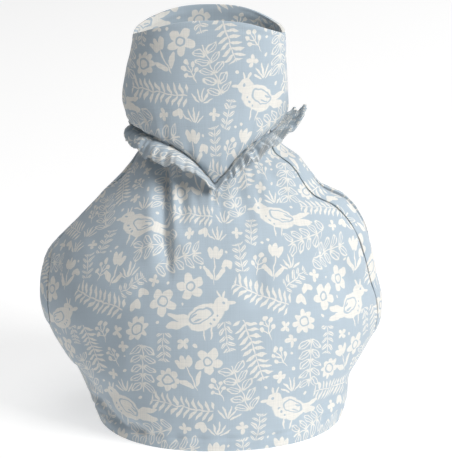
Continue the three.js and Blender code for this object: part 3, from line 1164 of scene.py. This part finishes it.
@dataclass(kw_only=True)
class BodyPanel(ClothPiece):
    """The front or the back of the body, from the hem to the neck seam.

    The panel is tucked in along its sides and stitched along the hem, which wanders a little between
    its stitches. Small gathers fade downwards from the neck seam. The grid's rows crowd towards the
    hem. Over hem_end, a stretch of the grid, the wall falls by the share hem_extra.
    """

    face: Face
    slot: str = "body_cotton"
    cotton: PrintedCotton = BODY_COTTON
    wall: float = 4.0
    columns: int = 260
    rows: int = 150
    cut: tuple[float, float] = (285, 227)
    cut_area: float = 42800
    held: str = "draped"
    seam_gap: float = 0.3
    strip_gap: float = 0.35
    seam_steps: int = 8
    crowding: float = 1.2
    tuck: Crease = Crease(0.8, 1.5)
    stitch: Crease = Crease(0.7, 1.5)
    hem_wave: Wave = Wave(37, 0.35)
    hem_wave_width: float = 4.0
    hem_extra: float = 0.25
    hem_end: tuple[float, float] = (-0.88, -0.77)
    pucker: float = 0.75
    gathers: Wave = Wave(0.9)
    gather_drift: Wave = Wave(0.23, 1.3)
    gather_fade: float = 9.0
    lump: float = 0.7
    lumps: tuple[Lumps, ...] = (Lumps(24.0, 3.7), Lumps(9.0, 11.3, 0.45))
    lumpy_from: float = 20.0

    def side_edge(self, handle_side: Array, z: Array) -> Array:
        """How far from the side seam the panel ends, by whether that is the handle side."""
        strip = np.where(handle_side, HANDLE_SLOT.edge(z), SPOUT_SLOT.edge(z))
        return np.where(strip > self.seam_gap, strip + self.strip_gap, self.seam_gap / 2 + strip)

    def turn(self, share: Array, z: Array) -> Array:
        """The turn of places on the panel.

        Args:
            share: how far across each is, from -1 at the spout side to 1 at the handle side.
            z: their heights.

        Returns:
            A turn for each place.
        """
        edge = self.side_edge(share > 0, z)
        depth = through(BODY_SECTIONS, "z", "depth", z)
        start = np.arcsin((edge / depth) ** (through(BODY_SECTIONS, "z", "edge", z) / 2))
        return self.face.value * (math.pi / 2 - share * (math.pi / 2 - start))

    def lay(self, u: Array, v: Array) -> Array:
        """Lays the panel on the body with its folds, hem, tucked edges and gathers.

        Args:
            u: grid places across.
            v: grid places up, from the hem.

        Returns:
            A point for each grid place, in millimetres.
        """
        share = -self.face.value * u
        top = np.full_like(u, NECK.tip)
        for _ in range(self.seam_steps):
            top = NECK.height(self.turn(share, top)) - NECK.gap / 2
        z = top * ((v + 1) / 2) ** self.crowding
        turn = self.turn(share, z)
        points = body_skin(turn, z)
        x, y = points[..., 0], points[..., 1]

        stitch = self.stitch.at(z - HEM_HEIGHT)
        tuck = self.tuck.at(np.abs(y) - self.side_edge(share > 0, z))
        gathers = self.gathers.at(x, self.gather_drift.at(x)) * np.exp(-(top - z) / self.gather_fade)
        above_hem = smooth(z, 0.0, self.lumpy_from)
        press = fold_depth(x, z, self.face) + stitch + tuck
        press = press + self.pucker * gathers + self.lump * uneven(points, self.lumps) * above_hem
        press = press + self.hem_wave.at(turn) * bell(z - HEM_HEIGHT, self.hem_wave_width)
        return points - outwards(body_skin, turn, z, HEM_HEIGHT) * press[..., None]

    def wall_share(self, v: Array) -> Array:
        """The hem is turned up, so the wall is a third thicker there."""
        return 1 - self.hem_extra * smooth(v, *self.hem_end)


@dataclass(kw_only=True)
class HoodPanel(ClothPiece):
    """The front or the back of the hood, from the neck seam to the open rim.

    It swells out over the frill from the seam. facing is how far below the rim its stitching runs.
    """

    face: Face
    slot: str = "hood_cotton"
    cotton: PrintedCotton = HOOD_COTTON
    wall: float = 2.0
    columns: int = 170
    rows: int = 70
    cut: tuple[float, float] = (153, 96)
    cut_area: float = 9300
    held: str = "draped"
    seam_gap: float = 0.3
    half_depth: float = 40.0
    crowding: float = 1.3
    swell_height: float = 7.5
    swell_power: float = 2.4
    pucker: float = 0.55
    gathers: tuple[Wave, Wave] = (Wave(23), Wave(41, 0.6, math.radians(60)))
    gather_fade: float = 8.0
    gather_start: float = 2.5
    lump: float = 0.4
    lumps: tuple[Lumps, ...] = (Lumps(20.0, 5.1), Lumps(8.0, 2.9, 0.4))
    tuck: Crease = Crease(0.9, 1.4)
    tuck_start: tuple[float, float] = (150.0, 190.0)
    facing: float = 4.0
    stitch: Crease = Crease(0.45, 0.8)

    def skin(self, turn: Array, z: Array) -> Array:
        """The smooth outside of the hood: it leaves the neck at the seam and swells over the frill.

        Args:
            turn: the turns to read at.
            z: the heights to read at.

        Returns:
            One point for each turn and height.
        """
        seam = NECK.height(turn)
        neck = outline(BODY_SECTIONS, turn, seam)
        full = outline(HOOD_SECTIONS, turn, z)
        risen = np.clip((z - seam) / self.swell_height, 0, 1)
        swell = (1 - (1 - risen) ** self.swell_power)[..., None]
        points = neck + (full - neck) * swell
        points[..., 2] = z
        return points

    def lay(self, u: Array, v: Array) -> Array:
        """Lays the panel on the hood, puckered at the seam and a little uneven above it.

        Args:
            u: grid places across.
            v: grid places up, from the neck seam.

        Returns:
            A point for each grid place, in millimetres.
        """
        share = -self.face.value * u
        start = math.asin(self.seam_gap / 2 / self.half_depth)
        turn = self.face.value * (math.pi / 2 - share * (math.pi / 2 - start))
        foot = NECK.height(turn) + NECK.gap / 2
        z = foot + (RIM.height(turn) - foot) * ((v + 1) / 2) ** self.crowding
        points = self.skin(turn, z)
        rise = z - foot
        gathers = sum(wave.at(turn) for wave in self.gathers)
        fading = np.exp(-rise / self.gather_fade) * smooth(rise, 0.0, self.gather_start)
        tuck = self.tuck.at(np.abs(points[..., 1]))
        below_rim = RIM.height(turn) - z
        press = self.pucker * gathers * fading + tuck * smooth(z, *self.tuck_start)
        press = press + self.stitch.at(below_rim - self.facing)
        press = press + self.lump * uneven(points, self.lumps)
        return points - levelled(outwards(self.skin, turn, z)) * press[..., None]


@dataclass(kw_only=True)
class NeckFrill(ClothPiece):
    """The gathered strip in the neck seam, all the way round.

    It sways in long waves and is pleated and crumpled more towards its free edge. A name that ends in
    _out or _down is the share of a movement that goes outwards or up and down, and one that ends in
    _start is how far from the seam, as a share of the width, that movement is full.
    """

    slot: str = "frill_cotton"
    cotton: PrintedCotton = FRILL_COTTON
    wall: float = 1.2
    columns: int = 640
    rows: int = 14
    cut: tuple[float, float] = (500, 18.5)
    cut_area: float = 5200
    held: str = "gathered"
    level_print: bool = False
    root: float = 1.5
    gather: float = 1.2
    sways: tuple[Wave, Wave] = (Wave(21), Wave(34, 0.45, 1))
    sway_out: float = 0.35
    pleat: Wave = Wave(63)
    small_pleat: Wave = Wave(101, 0.5, 2)
    pleat_drift: Wave = Wave(5, 2.4, 0.7)
    pleat_at_seam: float = 0.35
    pleat_start: float = 0.25
    pleat_out: float = 0.5
    pleat_down: float = 0.7
    crumple: Lumps = Lumps(4.5, 8.2, 0.8)
    crumple_start: float = 0.4
    weld: float = 0.01

    def lay(self, u: Array, v: Array) -> Array:
        """Lays the strip from its free edge up to the seam.

        Args:
            u: grid places round the neck.
            v: grid places up, from the free edge.

        Returns:
            A point for each grid place, in millimetres.
        """
        turn = (u + 1) * math.pi
        free = (1 - v) / 2
        angle = np.degrees(np.arctan2(np.cos(turn), -np.sin(turn)))
        out, drop, wave, crinkle = (
            through(FRILL, "angle", column, angle) for column in ("out", "drop", "wave", "crinkle")
        )
        seam = NECK.height(turn)
        normal = levelled(outwards(body_skin, turn, seam))

        sway = sum(each.at(turn) for each in self.sways) * wave * free
        pleats = self.pleat.at(turn, self.pleat_drift.at(turn)) + self.small_pleat.at(turn)
        looser = self.pleat_at_seam + (1 - self.pleat_at_seam) * free
        fine = crinkle * pleats * looser * smooth(free, 0.0, self.pleat_start)
        stand = self.root + out * np.sin(free * math.pi / 2) + self.sway_out * sway + self.pleat_out * fine
        points = body_skin(turn, seam) + normal * stand[..., None]
        points[..., 2] = seam - NECK.gap / 2 - drop * free**2 + sway + self.pleat_down * fine
        crumple = crinkle * uneven(points, (self.crumple,)) * smooth(free, 0.0, self.crumple_start)
        points = points + normal * crumple[..., None]
        points[..., 2] += crumple
        return points

    def flat(self, points: Array) -> Array:
        """Lays the strip out flat, longer than it lies because it is gathered.

        Args:
            points: rows by columns by three, as laid.

        Returns:
            Rows by columns by two, in millimetres along the printed cotton.
        """
        flat = super().flat(points)
        flat[..., 0] *= self.gather
        return flat

    def trim(self, mesh: bmesh.types.BMesh) -> None:
        """Joins the strip's two ends."""
        bmesh.ops.remove_doubles(mesh, verts=mesh.verts, dist=self.weld * MM)


@dataclass(kw_only=True)
class SlotStrip(ClothPiece):
    """The folded strip round a slot.

    proud is how far it stands out from the body. Its edges are rolled in, and stitched a little way in
    from each. Grid places nearer than middle to the grid's own middle lie on the opening's edge.
    """

    slot: str = "binding_cotton"
    cotton: PrintedCotton = BINDING_COTTON
    wall: float = 3.0
    held: str = "stretched"
    level_print: bool = False
    opening: Slot
    seam_steps: int = 6
    proud: float = 0.5
    roll: Crease = Crease(0.9, 1.5)
    stitch: Crease = Crease(0.35, 0.7)
    stitch_inset: float = 2.6
    open_width: float = 1.0
    lumps: tuple[Lumps, ...] = (Lumps(9.0, 4.4, 0.3),)
    middle: float = 0.02
    weld: float = 0.02
    least_opening: float = 0.02

    def edges(self, z: Array) -> tuple[Array, Array]:
        """The strip's inner and outer distances from the side seam."""
        return self.opening.opening(z), self.opening.edge(z)

    def lay(self, u: Array, v: Array) -> Array:
        """Lays the strip on the body's side, its inner and outer edges rolled in.

        Args:
            u: grid places across the strip and its opening.
            v: grid places up.

        Returns:
            A point for each grid place, in millimetres.
        """
        slot = self.opening
        side = slot.side.value
        out = np.clip((np.abs(u) - self.middle) / (1 - self.middle), 0, 1)
        share = (v + 1) / 2
        z = slot.low + (slot.high - slot.low) * share
        if not slot.closed_top:
            # The strip runs on up to the neck seam, under the frill
            for _ in range(self.seam_steps):
                inner, outer = self.edges(z)
                turn = turn_at(slot.side, inner + (outer - inner) * out, z)
                top = NECK.height(turn) - NECK.gap / 2
                z = slot.low + (top - slot.low) * share
        inner, outer = self.edges(z)
        y = (inner + (outer - inner) * out) * np.sign(u) * side
        turn = turn_at(slot.side, y, z)
        points = body_skin(turn, z)
        from_edge = np.minimum(np.abs(y) - inner, outer - np.abs(y))
        open_here = smooth(inner, 0.0, self.open_width)
        rolls = np.maximum(self.roll.at(outer - np.abs(y)), self.roll.at(np.abs(y) - inner) * open_here)
        press = rolls + self.stitch.at(from_edge - self.stitch_inset) - self.proud
        press = press + uneven(points, self.lumps)
        return points - outwards(body_skin, turn, z) * press[..., None]

    def trim(self, mesh: bmesh.types.BMesh) -> None:
        """Opens the slot and closes the strip above and below it.

        Args:
            mesh: the laid grid.
        """
        bmesh.ops.remove_doubles(mesh, verts=mesh.verts, dist=self.weld * MM)
        across = [
            face
            for face in mesh.faces
            if min(vert.co.y for vert in face.verts) < 0 < max(vert.co.y for vert in face.verts)
            and self.opening.opening(face.calc_center_median().z / MM) > self.least_opening
        ]
        bmesh.ops.delete(mesh, geom=across, context="FACES")


# ---- The studio ----------------------------------------------------------------------------------

Place = tuple[float, float, float]


def point_at(made: bpy.types.Object, place: Place, target: Place) -> None:
    """Puts a lamp or a camera at a place and turns it to a target."""
    made.location = place
    made.rotation_euler = (Vector(target) - Vector(place)).to_track_quat("-Z", "Y").to_euler()


@dataclass(frozen=True)
class Lamp:
    """A square soft light that shines at the cosy's middle."""

    name: str
    place: Place
    size: float
    watts: float
    colour: Colour = (1.0, 1.0, 1.0)


@dataclass
class Studio:
    """A pale floor under soft light, and the camera.

    The floor glows a little, and less in front: floor_front is where the glow starts to fall and where
    it has fallen, along Y in metres.
    """

    floor_reach: float = 9.0
    floor_colour: Colour = (0.5, 0.5, 0.5)
    floor_roughness: float = 0.9
    floor_shine: float = 0.1
    floor_glow: float = 0.6
    floor_glow_in_front: float = 0.12
    floor_front: tuple[float, float] = (-0.13, -0.42)
    sky: Colour = (0.95, 0.97, 1.0)
    sky_strength: float = 0.06
    lamps: tuple[Lamp, ...] = (
        Lamp("key", (1.85, -1.4, 1.5), size=1.2, watts=69.0, colour=(1.0, 0.99, 0.975)),
        Lamp("top", (-0.15, -0.55, 2.2), size=1.5, watts=19.0),
        Lamp("rear", (0.9, 1.8, 1.5), size=1.4, watts=16.0),
    )
    aim: Place = (0.0, 0.0, 0.11)
    camera_place: Place = (0.0, -1.4, 0.48)
    camera_aim: Place = (0.0089, 0.0, 0.1133)
    lens: float = 186.5

    def build(self) -> None:
        """Lays the floor, hangs the lamps and stands the camera."""
        self.lay_floor()
        world = bpy.data.worlds.new("studio")
        bpy.context.scene.world = world
        world.use_nodes = True
        sky = world.node_tree.nodes["Background"]
        put(sky, {"Color": (*self.sky, 1), "Strength": self.sky_strength})
        for lamp in self.lamps:
            self.hang(lamp)
        self.stand_camera()
        bpy.context.scene.view_settings.view_transform = "Standard"
        log.info("studio: floor, %d lamps and camera", len(self.lamps))

    def lay_floor(self) -> None:
        """Lays a plain pale floor that fills the picture and glows a little of itself."""
        mesh = bmesh.new()
        bmesh.ops.create_grid(mesh, x_segments=1, y_segments=1, size=self.floor_reach)
        data = bpy.data.meshes.new("floor")
        mesh.to_mesh(data)
        mesh.free()
        paper = bpy.data.materials.new("paper")
        paper.use_nodes = True
        tree = paper.node_tree
        shader = tree.nodes["Principled BSDF"]
        finish = {
            "Base Color": (*self.floor_colour, 1),
            "Roughness": self.floor_roughness,
            "Specular IOR Level": self.floor_shine,
            "Emission Color": (1, 1, 1, 1),
        }
        put(shader, finish)
        place = Field(tree, tree.nodes.new("ShaderNodeTexCoord").outputs["Object"])
        glows = (*self.floor_front, self.floor_glow, self.floor_glow_in_front)
        glow = place.axis("Y").node("ShaderNodeMapRange", "Result", *glows, interpolation_type="SMOOTHSTEP")
        tree.links.new(glow.socket, shader.inputs["Emission Strength"])
        data.materials.append(paper)
        floor = placed("floor", data)

    def hang(self, lamp: Lamp) -> None:
        """Hangs one lamp and turns it to the cosy.

        Args:
            lamp: the lamp.
        """
        data = bpy.data.lights.new(lamp.name, "AREA")
        data.shape = "SQUARE"
        data.size = lamp.size
        data.energy = lamp.watts
        data.color = lamp.colour
        hung = placed(lamp.name, data)
        point_at(hung, lamp.place, self.aim)

    def stand_camera(self) -> None:
        """Stands the camera a little above the cosy, in front of it."""
        data = bpy.data.cameras.new("camera")
        data.lens = self.lens
        camera = placed("camera", data)
        point_at(camera, self.camera_place, self.camera_aim)
        bpy.context.scene.camera = camera


# ---- The whole cosy ------------------------------------------------------------------------------


def pieces() -> tuple[ClothPiece, ...]:
    """Lists every piece of the cosy.

    Returns:
        The body's panels, the hood's, the frill and the two strips.
    """
    return (
        BodyPanel(name="cloth_body_front", node="body_front", face=Face.FRONT, print_at=(4, -84)),
        BodyPanel(name="cloth_body_back", node="body_back", face=Face.BACK, print_at=(31, -70)),
        HoodPanel(name="cloth_hood_front", node="hood_front", face=Face.FRONT, print_at=(20, 12)),
        HoodPanel(name="cloth_hood_back", node="hood_back", face=Face.BACK, print_at=(55, 30)),
        NeckFrill(name="cloth_neck_frill", node="neck_frill", print_at=(0, 40)),
        SlotStrip(
            name="cloth_binding_spout", node="binding_spout", opening=SPOUT_SLOT,
            columns=25, rows=70, cut=(52, 82), cut_area=1400, print_at=(70, 10),
        ),
        SlotStrip(
            name="cloth_binding_handle", node="binding_handle", opening=HANDLE_SLOT,
            columns=29, rows=170, cut=(49, 172), cut_area=4900, print_at=(10, 60),
        ),
    )


def main() -> None:
    """Builds the cosy and the studio."""
    for piece in pieces():
        piece.build()
    Studio().build()


if __name__ == "__main__":
    main()
